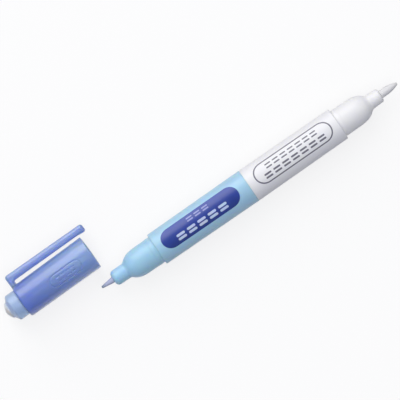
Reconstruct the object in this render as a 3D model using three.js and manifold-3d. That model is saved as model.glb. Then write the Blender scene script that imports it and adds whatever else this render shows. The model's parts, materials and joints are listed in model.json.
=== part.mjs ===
import * as THREE from 'three';
import { mergeVertices } from 'three/addons/utils/BufferGeometryUtils.js';
import Module from 'manifold-3d';

const wasm = await Module();
wasm.setup();

// A double-ended marker with its cap off. Lengths are millimetres, +Z is up.
// The pen lies along +X from its marking nib to its eraser nib, and its cap lies beside it on the +Y side.
// Each half of the pen is modelled from its own nib's tip, and the cap from its rim, along local +Y.

// Facets
const roundFacets = 36;
const nibFacets = 20;
const arcSteps = 3;
const ogiveSteps = 8;

// Gaps and overruns that every fit shares
const pressGap = 0.05;
const seatGap = 0.1;
const cutOverrun = 1;

// Body, the two barrels end to end
const barrelDiameter = 11.6;
const barrelBore = 9.2;
const seamChamfer = 0.12;
const markingBarrelLength = 35.8;
const markingShoulderDiameter = 11.2;
const markingShoulderRound = 0.25;
const eraserBarrelLength = 34.85;
const eraserShoulderDiameter = 11.2;
const eraserShoulderRound = 0.5;

// Noses, each seated in a recess in its barrel's end
const noseRecessDepth = 1.2;
const noseRecessGap = 0.1;
const spigotLength = 9;
const spigotChamfer = 0.4;
const noseFillet = 0.4;
const noseBeadHeight = 0.08;
const noseBeadLength = 1.6;
const noseBeadSetback = 0.5;
const ogivePower = 3.8;
const markingNoseDiameter = 9.5;
const markingNoseLength = 17;
const markingTipDiameter = 5.3;
const markingTipFrontDiameter = 5.25;
const markingTipLength = 5.35;
const markingTipRound = 1.4;
const markingOgiveLength = 7.7;
const eraserNoseDiameter = 9.5;
const eraserNoseLength = 16.35;
const eraserTipDiameter = 5.1;
const eraserTipFrontDiameter = 4.85;
const eraserTipLength = 4.6;
const eraserTipRound = 0.7;
const eraserOgiveLength = 8;

// Nibs
const nibGap = 0.1;
const nibSocketDepth = 6;
const markingNibReach = 4.4;
const markingNibDiameter = 1.95;
const markingNibPoint = 0.85;
const markingNibRound = 0.3;
const markingNibTaper = 4.2;
const markingNibSwell = 0;
const eraserNibReach = 6.4;
const eraserNibDiameter = 2.7;
const eraserNibPoint = 1.1;
const eraserNibRound = 0.4;
const eraserNibTaper = 4.6;
const eraserNibSwell = 0.4;

// Reservoirs, carried by the nose in front and by the coupler's cup behind
const holderBore = 7.5;
const holderSetback = 4;
const filmGap = 0.1;
const filmWall = 0.2;

// Coupler that joins the barrels and keeps the two fluids apart
const couplerReach = 8;
const partitionThickness = 2;

// Cap
const capLength = 27.2;
const capMouthDiameter = 11.7;
const capEndDiameter = 11.3;
const capBoreGap = 0.2;
const capBoreDraft = 0.3;
const capEndWall = 1.2;
const capRimRound = 0.3;
const capEndRound = 0.6;
const capSideOffset = 11.4;
const capRimPastNib = 3.5;
const capTurnDegrees = 1.2;

// Clip, moulded on the cap
const clipWidth = 3.6;
const clipThickness = 2.55;
const clipRootThickness = 2.8;
const clipMouthGap = 0.85;
const clipRootGap = 1.25;
const clipOverhang = 2.8;
const clipWebThickness = 2;
const clipCornerRound = 0.8;
const clipToeRound = 1.3;
const clipBeadHeight = 0.25;
const clipBevel = 0.5;
const clipBevelSteps = 3;

// Inner seal, whose knob stands out of the cap's closed end
const sealStemDiameter = 7.8;
const sealCupGap = 0.15;
const sealCupSetback = 12.8;
const sealNoseRoom = 0.5;
const sealNibBore = 3.6;
const sealChamfer = 0.3;
const knobDiameter = 9.2;
const knobLength = 6.15;
const knobStraight = 3.35;
const knobConeLength = 1;
const knobDomeDiameter = 5.7;
const knobDomeFullnessShare = 0.55;
const knobWall = 1.4;

// Places worked out from the sizes above
const markingHalfLength = markingNibReach + markingNoseLength + markingBarrelLength;
const eraserHalfLength = eraserNibReach + eraserNoseLength + eraserBarrelLength;
const penLength = markingHalfLength + eraserHalfLength;
const penRadius = barrelDiameter / 2;
const capRadius = capMouthDiameter / 2;
const capTurn = THREE.MathUtils.degToRad(capTurnDegrees);

const markingHalf = {
  name: 'marking',
  nibReach: markingNibReach,
  nibRadius: markingNibDiameter / 2,
  nibPointRadius: markingNibPoint / 2,
  nibRound: markingNibRound,
  nibTaper: markingNibTaper,
  nibSwell: markingNibSwell,
  noseRadius: markingNoseDiameter / 2,
  noseLength: markingNoseLength,
  tipRadius: markingTipDiameter / 2,
  tipFrontRadius: markingTipFrontDiameter / 2,
  tipLength: markingTipLength,
  tipRound: markingTipRound,
  ogiveLength: markingOgiveLength,
  shoulderRadius: markingShoulderDiameter / 2,
  shoulderRound: markingShoulderRound,
  halfLength: markingHalfLength,
  barrelColour: 0xa6cdea,
  noseColour: 0x9dc9ea,
  nibColour: 0x8f97b0,
  reservoirColour: 0x7d86c4
};

const eraserHalf = {
  name: 'eraser',
  nibReach: eraserNibReach,
  nibRadius: eraserNibDiameter / 2,
  nibPointRadius: eraserNibPoint / 2,
  nibRound: eraserNibRound,
  nibTaper: eraserNibTaper,
  nibSwell: eraserNibSwell,
  noseRadius: eraserNoseDiameter / 2,
  noseLength: eraserNoseLength,
  tipRadius: eraserTipDiameter / 2,
  tipFrontRadius: eraserTipFrontDiameter / 2,
  tipLength: eraserTipLength,
  tipRound: eraserTipRound,
  ogiveLength: eraserOgiveLength,
  shoulderRadius: eraserShoulderDiameter / 2,
  shoulderRound: eraserShoulderRound,
  halfLength: eraserHalfLength,
  barrelColour: 0xf1f0f4,
  noseColour: 0xeeedf2,
  nibColour: 0xe2e2e0,
  reservoirColour: 0xf4f3ee
};

// Turns a profile of radius and height into a round body about local Y.
function revolve(profile, facets = roundFacets) {
  return new THREE.LatheGeometry(profile.getPoints(arcSteps), facets);
}

// Turns a closed geometry into a solid that can be joined and cut.
function solidOf(geometry) {
  const bare = geometry.clone();
  bare.deleteAttribute('normal');
  bare.deleteAttribute('uv');
  const merged = mergeVertices(bare);
  const corners = merged.index.array;
  const kept = [];
  for (let i = 0; i < corners.length; i += 3) {
    const [a, b, c] = corners.slice(i, i + 3);
    if (a !== b && b !== c && c !== a) kept.push(a, b, c);
  }
  return new wasm.Manifold(new wasm.Mesh({
    numProp: 3,
    vertProperties: merged.attributes.position.array,
    triVerts: new Uint32Array(kept)
  }));
}

function geometryOf(solid) {
  const cut = solid.getMesh();
  const geometry = new THREE.BufferGeometry();
  geometry.setAttribute('position', new THREE.BufferAttribute(cut.vertProperties, 3));
  geometry.setIndex(new THREE.BufferAttribute(cut.triVerts, 1));
  geometry.computeVertexNormals();
  return geometry;
}

function piece(name, geometry, colour, roughness, opacity = 1) {
  const material = new THREE.MeshStandardMaterial({
    color: colour,
    roughness: roughness,
    metalness: 0,
    opacity: opacity,
    transparent: opacity < 1
  });
  const mesh = new THREE.Mesh(geometry, material);
  mesh.name = name;
  return mesh;
}

// Nib: a fibre rod with a rounded point, tapered where it stands out of the nose. The swell makes it a bullet.
function nibGeometry(half) {
  const end = nibTail(half);
  const profile = new THREE.Path();
  profile.moveTo(0, 0);
  profile.absellipse(0, half.nibRound, half.nibPointRadius, half.nibRound, -Math.PI / 2, 0);
  profile.quadraticCurveTo(
    (half.nibPointRadius + half.nibRadius) / 2 + half.nibSwell, (half.nibRound + half.nibTaper) / 2,
    half.nibRadius, half.nibTaper
  );
  profile.lineTo(half.nibRadius, end - nibGap);
  profile.lineTo(half.nibRadius - nibGap, end);
  profile.lineTo(0, end);
  return revolve(profile, nibFacets);
}

// Where the nose's tip ends and its ogive starts.
function ogiveStart(half) {
  return half.nibReach + half.tipLength;
}

// Front wall of the room in the nose that the reservoir butts on.
function holderStop(half) {
  return ogiveStart(half) + holderSetback;
}

function nibTail(half) {
  return holderStop(half) + nibSocketDepth;
}

// Radius of the ogive at a share of its length. It grows ever more slowly up to the nose's own radius.
function ogiveRadius(half, share) {
  return half.noseRadius - (half.noseRadius - half.tipRadius) * (1 - share) ** ogivePower;
}

// Nose: rounded front, slightly tapered tip, fillet, ogive, a parallel stretch with the low bead that a cap's
// mouth grips, and the spigot inside the barrel.
function noseGeometry(half) {
  const front = half.nibReach;
  const shoulder = front + half.noseLength;
  const seat = shoulder + noseRecessDepth;
  const spigotRadius = barrelBore / 2 - pressGap;
  const spigotEnd = seat + spigotLength;
  const nibBore = half.nibRadius + nibGap;
  const beadEnd = shoulder - noseBeadSetback;
  const beadStart = beadEnd - noseBeadLength;
  const profile = new THREE.Path();
  profile.moveTo(nibBore, front);
  profile.lineTo(nibBore + nibGap, front);
  profile.absellipse(
    nibBore + nibGap, front + half.tipRound,
    half.tipFrontRadius - nibBore - nibGap, half.tipRound, -Math.PI / 2, 0
  );
  profile.lineTo(half.tipRadius, ogiveStart(half) - noseFillet);
  for (let step = 1; step <= ogiveSteps; step++) {
    const share = step / ogiveSteps;
    const radius = ogiveRadius(half, share);
    const place = ogiveStart(half) + share * half.ogiveLength;
    if (step === 1) profile.quadraticCurveTo(half.tipRadius, ogiveStart(half), radius, place);
    else profile.lineTo(radius, place);
  }
  profile.lineTo(half.noseRadius, beadStart);
  profile.quadraticCurveTo(
    half.noseRadius + 2 * noseBeadHeight, (beadStart + beadEnd) / 2,
    half.noseRadius, beadEnd
  );
  profile.lineTo(half.noseRadius, seat);
  profile.lineTo(spigotRadius, seat);
  profile.lineTo(spigotRadius, spigotEnd - spigotChamfer);
  profile.lineTo(spigotRadius - spigotChamfer, spigotEnd);
  profile.lineTo(holderBore / 2, spigotEnd);
  profile.lineTo(holderBore / 2, holderStop(half));
  profile.lineTo(nibBore, holderStop(half));
  profile.lineTo(nibBore, front);
  return revolve(profile);
}

// Barrel: a tube from its shoulder to the seam, with the nose's recess in its end.
function barrelGeometry(half) {
  const shoulder = half.nibReach + half.noseLength;
  const recessRadius = half.noseRadius + noseRecessGap;
  const edge = half.shoulderRadius - half.shoulderRound;
  const profile = new THREE.Path();
  profile.moveTo(recessRadius, shoulder);
  profile.lineTo(edge, shoulder);
  profile.absarc(edge, shoulder + half.shoulderRound, half.shoulderRound, -Math.PI / 2, 0);
  profile.lineTo(penRadius, half.halfLength - seamChamfer);
  profile.lineTo(penRadius - seamChamfer, half.halfLength);
  profile.lineTo(barrelBore / 2, half.halfLength);
  profile.lineTo(barrelBore / 2, shoulder + noseRecessDepth);
  profile.lineTo(recessRadius, shoulder + noseRecessDepth);
  profile.lineTo(recessRadius, shoulder);
  return revolve(profile);
}

// Where a reservoir starts and ends, between the nose and the coupler's partition.
function reservoirSpan(half) {
  return {
    front: holderStop(half) + seatGap,
    back: half.halfLength - partitionThickness / 2 - seatGap
  };
}

// Reservoir: a fibre rod with the nib's socket in its front.
function reservoirGeometry(half) {
  const span = reservoirSpan(half);
  const radius = holderBore / 2 - 2 * filmGap - filmWall;
  const socketRadius = half.nibRadius + nibGap;
  const socketEnd = nibTail(half) + nibGap;
  const profile = new THREE.Path();
  profile.moveTo(0, socketEnd);
  profile.lineTo(socketRadius, socketEnd);
  profile.lineTo(socketRadius, span.front);
  profile.lineTo(radius, span.front);
  profile.lineTo(radius, span.back);
  profile.lineTo(0, span.back);
  return revolve(profile);
}

// Film: the sleeve that keeps a reservoir's fluid in.
function filmGeometry(half) {
  const span = reservoirSpan(half);
  const outer = holderBore / 2 - filmGap;
  const inner = outer - filmWall;
  const profile = new THREE.Path();
  profile.moveTo(inner, span.front);
  profile.lineTo(outer, span.front);
  profile.lineTo(outer, span.back);
  profile.lineTo(inner, span.back);
  profile.lineTo(inner, span.front);
  return revolve(profile);
}

function penHalf(half) {
  const group = new THREE.Group();
  group.add(
    piece(`${half.name}_nib`, nibGeometry(half), half.nibColour, 0.9),
    piece(`${half.name}_nose`, noseGeometry(half), half.noseColour, 0.35),
    piece(`${half.name}_barrel`, barrelGeometry(half), half.barrelColour, 0.35),
    piece(`${half.name}_reservoir`, reservoirGeometry(half), half.reservoirColour, 0.95),
    piece(`${half.name}_reservoir_film`, filmGeometry(half), 0xf4f4f4, 0.2, 0.6)
  );
  return group;
}

// Coupler: two cups back to back on a partition, pressed into both barrels.
function couplerGeometry() {
  const outer = barrelBore / 2 - pressGap;
  const cup = holderBore / 2;
  const wall = partitionThickness / 2;
  const profile = new THREE.Path();
  profile.moveTo(0, -wall);
  profile.lineTo(cup, -wall);
  profile.lineTo(cup, -couplerReach);
  profile.lineTo(outer - spigotChamfer, -couplerReach);
  profile.lineTo(outer, spigotChamfer - couplerReach);
  profile.lineTo(outer, couplerReach - spigotChamfer);
  profile.lineTo(outer - spigotChamfer, couplerReach);
  profile.lineTo(cup, couplerReach);
  profile.lineTo(cup, wall);
  profile.lineTo(0, wall);
  return revolve(profile);
}

function capOutside() {
  const endRadius = capEndDiameter / 2;
  const rimEdge = capRadius - capRimRound;
  const endEdge = endRadius - capEndRound;
  const profile = new THREE.Path();
  profile.moveTo(0, 0);
  profile.lineTo(rimEdge, 0);
  profile.absarc(rimEdge, capRimRound, capRimRound, -Math.PI / 2, 0);
  profile.lineTo(endRadius, capLength - capEndRound);
  profile.absarc(endEdge, capLength - capEndRound, capEndRound, 0, Math.PI / 2);
  profile.lineTo(0, capLength);
  return revolve(profile);
}

// The room in the cap, from its mouth to the end wall, and the hole there for the seal's stem.
function capCavity() {
  const mouthBore = markingNoseDiameter / 2 + capBoreGap;
  const floor = capLength - capEndWall;
  const stemHole = sealStemDiameter / 2 + seatGap;
  const profile = new THREE.Path();
  profile.moveTo(0, -cutOverrun);
  profile.lineTo(mouthBore, -cutOverrun);
  profile.lineTo(mouthBore, 0);
  profile.lineTo(mouthBore - capBoreDraft, floor);
  profile.lineTo(stemHole, floor);
  profile.lineTo(stemHole, capLength + cutOverrun);
  profile.lineTo(0, capLength + cutOverrun);
  return revolve(profile);
}

// Clip: a bar beside the cap that thins towards its free end, with its web at the closed end and a small bead.
function clipGeometry() {
  const endRadius = capEndDiameter / 2;
  const rootInner = endRadius + clipRootGap;
  const mouthInner = capRadius + clipMouthGap;
  const rootOuter = rootInner + clipRootThickness;
  const mouthOuter = mouthInner + clipThickness;
  const webFoot = Math.sqrt(endRadius ** 2 - (clipWidth / 2) ** 2) - capEndRound;
  const webUnderside = capLength - clipWebThickness;
  const outline = new THREE.Shape();
  outline.moveTo(webFoot, capLength);
  outline.lineTo(rootOuter - clipCornerRound, capLength);
  outline.quadraticCurveTo(rootOuter, capLength, rootOuter, capLength - clipCornerRound);
  outline.lineTo(mouthOuter, clipCornerRound - clipOverhang);
  outline.quadraticCurveTo(mouthOuter, -clipOverhang, mouthOuter - clipCornerRound, -clipOverhang);
  outline.quadraticCurveTo(
    mouthInner - clipBeadHeight, -clipOverhang,
    mouthInner - clipBeadHeight, clipToeRound - clipOverhang
  );
  outline.quadraticCurveTo(mouthInner - clipBeadHeight, 0, mouthInner, 0);
  outline.lineTo(rootInner, webUnderside - clipRootGap / 2);
  outline.quadraticCurveTo(rootInner, webUnderside, rootInner - clipRootGap / 2, webUnderside);
  outline.lineTo(webFoot, webUnderside);
  outline.closePath();
  const bar = new THREE.ExtrudeGeometry(outline, {
    depth: clipWidth - 2 * clipBevel,
    curveSegments: arcSteps,
    bevelSize: clipBevel,
    bevelThickness: clipBevel,
    bevelOffset: -clipBevel,
    bevelSegments: clipBevelSteps
  });
  bar.translate(0, 0, clipBevel - clipWidth / 2);
  return bar;
}

function capShellGeometry() {
  const outside = solidOf(capOutside()).add(solidOf(clipGeometry()));
  return geometryOf(outside.subtract(solidOf(capCavity())));
}

// Inner seal: a cup that closes on the nose's tip, a room for the nib, and the knob behind the cap's end.
function sealGeometry() {
  const stem = sealStemDiameter / 2;
  const cup = markingTipDiameter / 2 + sealCupGap;
  const nibBore = sealNibBore / 2;
  const noseFloor = markingNoseLength + sealNoseRoom;
  const knobSeat = capLength + seatGap;
  const knobRadius = knobDiameter / 2;
  const coneTop = knobSeat + knobStraight + knobConeLength;
  const domeRadius = knobDomeDiameter / 2;
  const knobEnd = capLength + knobLength;
  const profile = new THREE.Path();
  profile.moveTo(0, knobEnd - knobWall);
  profile.lineTo(nibBore - sealChamfer, knobEnd - knobWall);
  profile.lineTo(nibBore, knobEnd - knobWall - sealChamfer);
  profile.lineTo(nibBore, noseFloor);
  profile.lineTo(cup, noseFloor);
  profile.lineTo(cup, sealCupSetback + sealChamfer);
  profile.lineTo(cup + sealChamfer, sealCupSetback);
  profile.lineTo(stem - sealChamfer, sealCupSetback);
  profile.lineTo(stem, sealCupSetback + sealChamfer);
  profile.lineTo(stem, knobSeat);
  profile.lineTo(knobRadius - sealChamfer, knobSeat);
  profile.lineTo(knobRadius, knobSeat + sealChamfer);
  profile.lineTo(knobRadius, knobSeat + knobStraight - sealChamfer);
  profile.quadraticCurveTo(
    knobRadius, knobSeat + knobStraight,
    knobRadius - sealChamfer, knobSeat + knobStraight + sealChamfer
  );
  profile.lineTo(domeRadius, coneTop);
  const domePull = coneTop + knobDomeFullnessShare * (knobEnd - coneTop);
  profile.quadraticCurveTo(domeRadius, domePull, 0, knobEnd);
  return revolve(profile);
}

const pen = new THREE.Group();
const marking = penHalf(markingHalf);
marking.rotation.z = -Math.PI / 2;
const eraser = penHalf(eraserHalf);
eraser.rotation.z = Math.PI / 2;
eraser.position.x = penLength;
const coupler = piece('centre_coupler', couplerGeometry(), 0xe8e8ec, 0.5);
coupler.rotation.z = -Math.PI / 2;
coupler.position.x = markingHalfLength;
pen.add(marking, eraser, coupler);
pen.position.z = penRadius;

const cap = new THREE.Group();
cap.add(
  piece('cap_shell', capShellGeometry(), 0x6f8ccd, 0.25, 0.85),
  piece('cap_inner_seal', sealGeometry(), 0xbfd4ee, 0.4, 0.9)
);
cap.rotation.z = Math.PI / 2 + capTurn;
cap.position.set(capRimPastNib, capSideOffset, capRadius);

// The origin is the middle of the marker's footprint, on the surface that it lies on.
const marker = new THREE.Group();
marker.add(pen, cap);
const box = new THREE.Box3().setFromObject(marker);
const middle = box.getCenter(new THREE.Vector3());
marker.position.set(-middle.x, -middle.y, -box.min.z);

export default marker;
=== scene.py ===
import json
import math

import bmesh
import bpy
import numpy as np
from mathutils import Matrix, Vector


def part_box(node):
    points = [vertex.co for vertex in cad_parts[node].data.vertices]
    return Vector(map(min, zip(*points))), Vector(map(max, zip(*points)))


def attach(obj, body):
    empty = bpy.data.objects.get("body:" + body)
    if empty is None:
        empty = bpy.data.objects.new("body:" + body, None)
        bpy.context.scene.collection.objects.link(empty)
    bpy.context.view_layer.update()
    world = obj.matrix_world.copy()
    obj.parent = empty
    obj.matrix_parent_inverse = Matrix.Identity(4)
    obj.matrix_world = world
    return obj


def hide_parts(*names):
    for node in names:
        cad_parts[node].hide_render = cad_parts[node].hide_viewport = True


# Looks of a double-ended marker and its cap. Sizes in the dictionaries are millimetres unless a name
# says otherwise. Places are metres in the frame's own axes, worked out from the frame's boxes.

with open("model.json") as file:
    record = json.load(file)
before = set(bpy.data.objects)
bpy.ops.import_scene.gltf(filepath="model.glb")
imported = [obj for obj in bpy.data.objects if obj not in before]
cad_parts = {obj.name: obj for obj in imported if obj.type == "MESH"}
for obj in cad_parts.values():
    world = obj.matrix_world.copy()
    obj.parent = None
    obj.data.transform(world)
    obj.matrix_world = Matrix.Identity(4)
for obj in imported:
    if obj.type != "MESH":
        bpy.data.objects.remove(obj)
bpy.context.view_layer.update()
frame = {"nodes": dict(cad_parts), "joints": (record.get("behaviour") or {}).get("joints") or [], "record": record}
mm = 0.001
print("frame loaded:", len(frame["nodes"]), "nodes")


# Shapes

# How every mesh here is drawn. The shares hold a fillet within the sides of its corner, and put the support
# points beside it. The weld lengths are metres.
meshSizes = {
    "filletSteps": 6,
    "reachShare": 0.45,
    "supportShare": 0.48,
    "supportReachShare": 1.3,
    "columns": 128,
    "weldMetres": 1e-7,
    "sliverMetres": 1e-8,
    "sharpDegrees": 35,
}


def filletProfile(corners, steps=meshSizes["filletSteps"]):
    # Corners are (radius, place, rounding). Each rounded corner becomes an arc that touches both of its
    # sides: centre + (first * sin((1 - share) sweep) + last * sin(share sweep)) / sin sweep. A support
    # point just outside each end of the arc keeps the flats beside it flat when shaded smooth.
    points = np.array([(r, x) for r, x, rounding in corners], float)
    outline = []
    for i, (r, x, rounding) in enumerate(corners):
        if rounding == 0 or i in (0, len(corners) - 1):
            outline.append(points[i:i + 1])
            continue
        back = points[i - 1] - points[i]
        ahead = points[i + 1] - points[i]
        backLength, aheadLength = np.linalg.norm(back), np.linalg.norm(ahead)
        back, ahead = back / backLength, ahead / aheadLength
        halfAngle = math.acos(np.clip(np.dot(back, ahead), -1, 1)) / 2
        reach = min(rounding / math.tan(halfAngle), meshSizes["reachShare"] * min(backLength, aheadLength))
        radius = reach * math.tan(halfAngle)
        middle = (back + ahead) / np.linalg.norm(back + ahead)
        centre = points[i] + middle * radius / math.sin(halfAngle)
        first = points[i] + back * reach - centre
        last = points[i] + ahead * reach - centre
        sweep = math.pi - 2 * halfAngle
        share = np.linspace(0, 1, steps + 1)[:, None]
        arc = centre + (np.sin((1 - share) * sweep) * first + np.sin(share * sweep) * last) / math.sin(sweep)
        support = reach * meshSizes["supportReachShare"]
        outline.append(points[i] + back * min(support, meshSizes["supportShare"] * backLength))
        outline.append(arc)
        outline.append(points[i] + ahead * min(support, meshSizes["supportShare"] * aheadLength))
    return np.vstack(outline)


def quarterEllipse(centreRadius, centrePlace, across, along, steps):
    # From in front of the centre round to beside it: radius + across * sin a, place - along * cos a.
    turn = np.linspace(0, math.pi / 2, steps)
    return np.stack([centreRadius + across * np.sin(turn), centrePlace - along * np.cos(turn)], axis=1)


def bentLine(start, pull, end, steps):
    # A curve between two points that leans towards a third, with s from 0 to 1:
    # start * (1 - s) squared + pull * 2 s (1 - s) + end * s squared.
    share = np.linspace(0, 1, steps)[:, None]
    start, pull, end = np.array(start), np.array(pull), np.array(end)
    return (1 - share) ** 2 * start + 2 * share * (1 - share) * pull + share ** 2 * end


def axisAt(origin, along):
    # A piece's own axes: along its length, up, and sideways, which is up cross along.
    along = np.array(along, float) / np.linalg.norm(along)
    up = np.array((0.0, 0.0, 1.0))
    return {"origin": np.array(origin, float), "along": along, "up": up, "side": np.cross(up, along)}


def placed(axis, along, side, up):
    # Local millimetres to frame metres: origin + along * a + side * s + up * u.
    return (axis["origin"] + mm * (along[..., None] * axis["along"] + side[..., None] * axis["side"]
                                   + up[..., None] * axis["up"]))


def closeMesh(mesh):
    # Joins the doubled points of seams and poles, fills open ends, and turns the faces outwards.
    body = bmesh.new()
    body.from_mesh(mesh)
    bmesh.ops.remove_doubles(body, verts=body.verts, dist=meshSizes["weldMetres"])
    bmesh.ops.dissolve_degenerate(body, edges=body.edges, dist=meshSizes["sliverMetres"])
    bmesh.ops.holes_fill(body, edges=[edge for edge in body.edges if edge.is_boundary], sides=0)
    if body.calc_volume(signed=True) < 0:
        bmesh.ops.reverse_faces(body, faces=body.faces)
    body.to_mesh(mesh)
    body.free()


def addPiece(name, mesh, material):
    mesh.shade_smooth()
    mesh.set_sharp_from_angle(angle=math.radians(meshSizes["sharpDegrees"]))
    mesh.materials.append(material)
    piece = bpy.data.objects.new(name, mesh)
    bpy.context.scene.collection.objects.link(piece)
    return piece


def gridMesh(name, points, uvs):
    # Points are rows by columns. The faces join each row to the next, with the winding that faces outwards
    # where a profile runs along the axis and the columns run from up towards the side.
    rows, columns = points.shape[:2]
    index = np.arange(rows * columns).reshape(rows, columns)
    quads = np.stack([index[:-1, :-1], index[1:, :-1], index[1:, 1:], index[:-1, 1:]], axis=-1)
    quads = quads.reshape(-1, 4)
    mesh = bpy.data.meshes.new(name)
    mesh.vertices.add(rows * columns)
    mesh.vertices.foreach_set("co", points.reshape(-1, 3).ravel())
    mesh.loops.add(quads.size)
    mesh.loops.foreach_set("vertex_index", quads.ravel())
    mesh.polygons.add(len(quads))
    mesh.polygons.foreach_set("loop_start", np.arange(0, quads.size, 4))
    mesh.polygons.foreach_set("loop_total", np.full(len(quads), 4))
    mesh.update(calc_edges=True)
    layer = mesh.uv_layers.new(name="surface")
    layer.data.foreach_set("uv", uvs.reshape(-1, 2)[quads.ravel()].ravel())
    closeMesh(mesh)
    return mesh


def revolveMesh(name, axis, profile, arcRadius, turn=None, relief=None):
    # Turns a profile of (radius, place) about the axis: up * r cos f + side * r sin f + along * x. The map
    # is in millimetres: f * arcRadius round the piece, and x along it. Relief is taken off the radius.
    turn = np.linspace(-math.pi, math.pi, meshSizes["columns"] + 1) if turn is None else turn
    place = profile[:, 1:] + 0 * turn
    radius = profile[:, :1] + 0 * turn
    arc = arcRadius * turn + 0 * place
    if relief:
        radius = radius - relief(arc, place, radius)
    points = placed(axis, place, radius * np.sin(turn), radius * np.cos(turn))
    points[:, -1] = points[:, 0]
    return gridMesh(name, points, np.stack([arc, place], axis=-1))


# Materials

# The skin that all moulded pieces here share. The grain's depth is in millimetres.
mouldedSkin = {
    "cloudDetail": 3.0,
    "cloudRoughness": 0.5,
    "grainDetail": 2.0,
    "grainRoughness": 0.6,
    "grainDepth": 0.01,
    "roughnessSpread": 0.05,
}


def linearColour(code):
    # An sRGB hex colour as linear red, green, blue and alpha.
    values = np.array([int(code[i:i + 2], 16) for i in (1, 3, 5)]) / 255
    linear = np.where(values <= 0.04045, values / 12.92, ((values + 0.055) / 1.055) ** 2.4)
    return (*linear.tolist(), 1.0)


def perMillimetre(size):
    # The scale of a pattern on Object coordinates whose features are this many millimetres apart.
    return 1 / (size * mm)


def addNode(tree, kind, inputs=None, **settings):
    # Adds one node, sets its settings, and gives each input a value or a link. A Mix node's colours are its
    # inputs 6 and 7 and its output 2, and its plain values are inputs 2 and 3 and output 0.
    node = tree.nodes.new(kind)
    for key, value in settings.items():
        setattr(node, key, value)
    for key, value in (inputs or {}).items():
        if isinstance(value, bpy.types.NodeSocket):
            tree.links.new(value, node.inputs[key])
        else:
            node.inputs[key].default_value = value
    return node


def newMaterial(name):
    material = bpy.data.materials.new(name)
    material.use_nodes = True
    tree = material.node_tree
    tree.nodes.clear()
    return material, tree


def finishMaterial(material, tree, surface, depth=None):
    # Depth is the colour that a clear plastic takes on over its thickness.
    output = addNode(tree, "ShaderNodeOutputMaterial", {"Surface": surface})
    if depth:
        tree.links.new(depth, output.inputs["Volume"])
    return material


def stadiumDistance(tree, across, along, halfLength, halfWidth):
    # How far a point lies outside a bar with round ends, in millimetres, less than zero inside it:
    # the length of (across, how far along passes the straight part) less the half width.
    straight = halfLength - halfWidth
    past = addNode(tree, "ShaderNodeMath", {0: along}, operation="ABSOLUTE").outputs[0]
    past = addNode(tree, "ShaderNodeMath", {0: past, 1: straight}, operation="SUBTRACT").outputs[0]
    past = addNode(tree, "ShaderNodeMath", {0: past, 1: 0.0}, operation="MAXIMUM").outputs[0]
    away = addNode(tree, "ShaderNodeCombineXYZ", {0: across, 1: past, 2: 0.0}).outputs[0]
    length = addNode(tree, "ShaderNodeVectorMath", {0: away}, operation="LENGTH").outputs["Value"]
    return addNode(tree, "ShaderNodeMath", {0: length, 1: halfWidth}, operation="SUBTRACT").outputs[0]


def edgeMask(tree, distance, softness=0.05):
    # 1 where the distance is below zero and 0 outside, with an edge this many millimetres wide.
    return addNode(tree, "ShaderNodeMapRange", {
        "Value": distance, "From Min": softness / 2, "From Max": -softness / 2,
    }, interpolation_type="SMOOTHSTEP").outputs[0]


def dashRow(tree, across, along, row):
    # Two like rows of bars with round ends, centred on the label's length. The place across is folded about
    # the middle between the rows, the place along is folded into one pitch, counted from the first bar, and
    # the rows are cut to a whole number of bars.
    offset = addNode(tree, "ShaderNodeMath", {0: across, 1: row["across"]}, operation="SUBTRACT").outputs[0]
    offset = addNode(tree, "ShaderNodeMath", {0: offset}, operation="ABSOLUTE").outputs[0]
    halfApart, halfPitch = row["apart"] / 2, row["pitch"] / 2
    offset = addNode(tree, "ShaderNodeMath", {0: offset, 1: halfApart}, operation="SUBTRACT").outputs[0]
    halfRow = row["count"] * halfPitch
    folded = addNode(tree, "ShaderNodeMath", {0: along, 1: halfRow - halfPitch}, operation="ADD").outputs[0]
    folded = addNode(tree, "ShaderNodeMath", {0: folded, 1: halfPitch, 2: -halfPitch}, operation="WRAP")
    bar = stadiumDistance(tree, offset, folded.outputs[0], row["length"] / 2, row["width"] / 2)
    bar = edgeMask(tree, bar)
    inside = addNode(tree, "ShaderNodeMath", {0: along}, operation="ABSOLUTE").outputs[0]
    inside = addNode(tree, "ShaderNodeMath", {0: inside, 1: halfRow}, operation="LESS_THAN").outputs[0]
    return addNode(tree, "ShaderNodeMath", {0: bar, 1: inside}, operation="MULTIPLY").outputs[0]


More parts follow.
